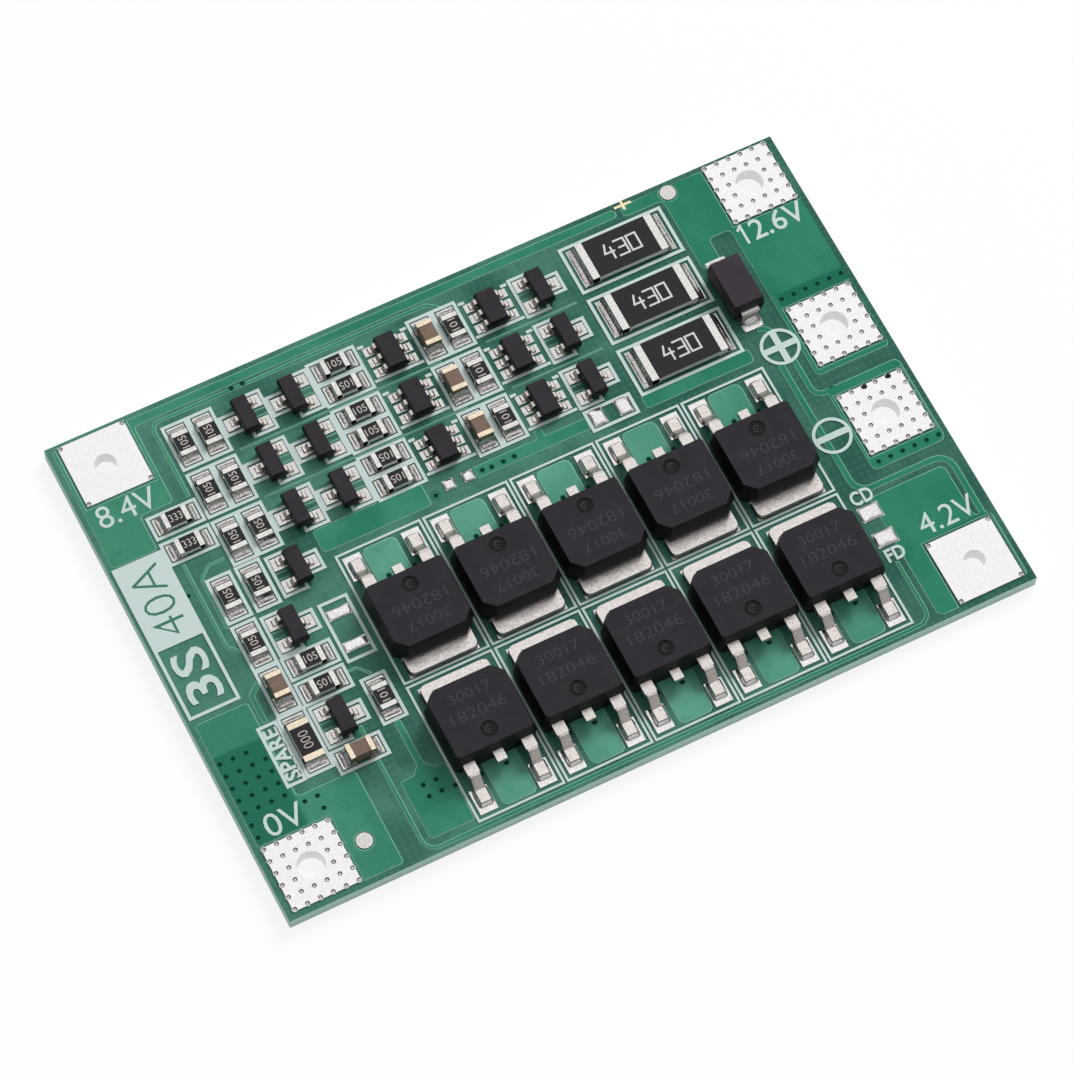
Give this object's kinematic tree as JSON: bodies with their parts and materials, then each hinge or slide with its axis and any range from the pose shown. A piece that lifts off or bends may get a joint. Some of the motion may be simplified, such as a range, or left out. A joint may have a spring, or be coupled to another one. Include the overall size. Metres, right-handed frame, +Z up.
{
  "type": "battery management board",
  "caption": "Flat green circuit board for a small battery pack: square wire terminals with plated holes, two rows of flat power transistors with bent leads, and rows of small chips.",
  "frame": {"origin": "centre of the board's flat underside", "axes": "+X along the board's length, towards the 12.6 V and pack terminals; +Y across the board, towards the 8.4 V terminal's edge; +Z up, out of the component side"},
  "size_m": [0.06, 0.041, 0.0036],
  "materials": {
    "laminate": "satin green solder mask over glass laminate",
    "masked_copper": "satin green solder mask over copper",
    "legend": "matte white screen print",
    "tinned_land": "bright tin, slightly uneven",
    "terminal_tin": "bright tin levelled flat",
    "lead_tin": "satin tin plate",
    "cap_tin": "satin tin plate with solder",
    "power_epoxy": "fine-grained moulded epoxy",
    "small_epoxy": "fine-grained moulded epoxy",
    "resistor_coat": "black glaze over white ceramic",
    "capacitor_ceramic": "fired tan ceramic"
  },
  "bodies": {
    "root": {"board": "laminate", "top_copper": "masked_copper", "legend_print": "legend", "component_lands": "tinned_land", "test_pads": "tinned_land", "terminal_0v": "terminal_tin", "terminal_4v2": "terminal_tin", "terminal_8v4": "terminal_tin", "terminal_12v6": "terminal_tin", "terminal_pack_plus": "terminal_tin", "terminal_pack_minus": "terminal_tin", "mosfet_1_body": "power_epoxy", "mosfet_2_body": "power_epoxy", "mosfet_3_body": "power_epoxy", "mosfet_4_body": "power_epoxy", "mosfet_5_body": "power_epoxy", "mosfet_6_body": "power_epoxy", "mosfet_7_body": "power_epoxy", "mosfet_8_body": "power_epoxy", "mosfet_9_body": "power_epoxy", "mosfet_10_body": "power_epoxy", "mosfet_1_leadframe": "lead_tin", "mosfet_2_leadframe": "lead_tin", "mosfet_3_leadframe": "lead_tin", "mosfet_4_leadframe": "lead_tin", "mosfet_5_leadframe": "lead_tin", "mosfet_6_leadframe": "lead_tin", "mosfet_7_leadframe": "lead_tin", "mosfet_8_leadframe": "lead_tin", "mosfet_9_leadframe": "lead_tin", "mosfet_10_leadframe": "lead_tin", "monitor_ic_1_body": "small_epoxy", "monitor_ic_2_body": "small_epoxy", "monitor_ic_3_body": "small_epoxy", "monitor_ic_4_body": "small_epoxy", "monitor_ic_5_body": "small_epoxy", "monitor_ic_6_body": "small_epoxy", "monitor_ic_1_pins": "lead_tin", "monitor_ic_2_pins": "lead_tin", "monitor_ic_3_pins": "lead_tin", "monitor_ic_4_pins": "lead_tin", "monitor_ic_5_pins": "lead_tin", "monitor_ic_6_pins": "lead_tin", "balance_resistor_1_body": "resistor_coat", "balance_resistor_2_body": "resistor_coat", "balance_resistor_3_body": "resistor_coat", "balance_resistor_1_caps": "cap_tin", "balance_resistor_2_caps": "cap_tin", "balance_resistor_3_caps": "cap_tin", "diode_body": "power_epoxy", "diode_leads": "lead_tin", "transistor_bodies": "small_epoxy", "transistor_pins": "lead_tin", "chip_resistor_bodies": "resistor_coat", "chip_resistor_caps": "cap_tin", "chip_capacitor_bodies": "capacitor_ceramic", "chip_capacitor_caps": "cap_tin", "link_body": "resistor_coat", "link_caps": "cap_tin"}
  },
  "joints": []
}
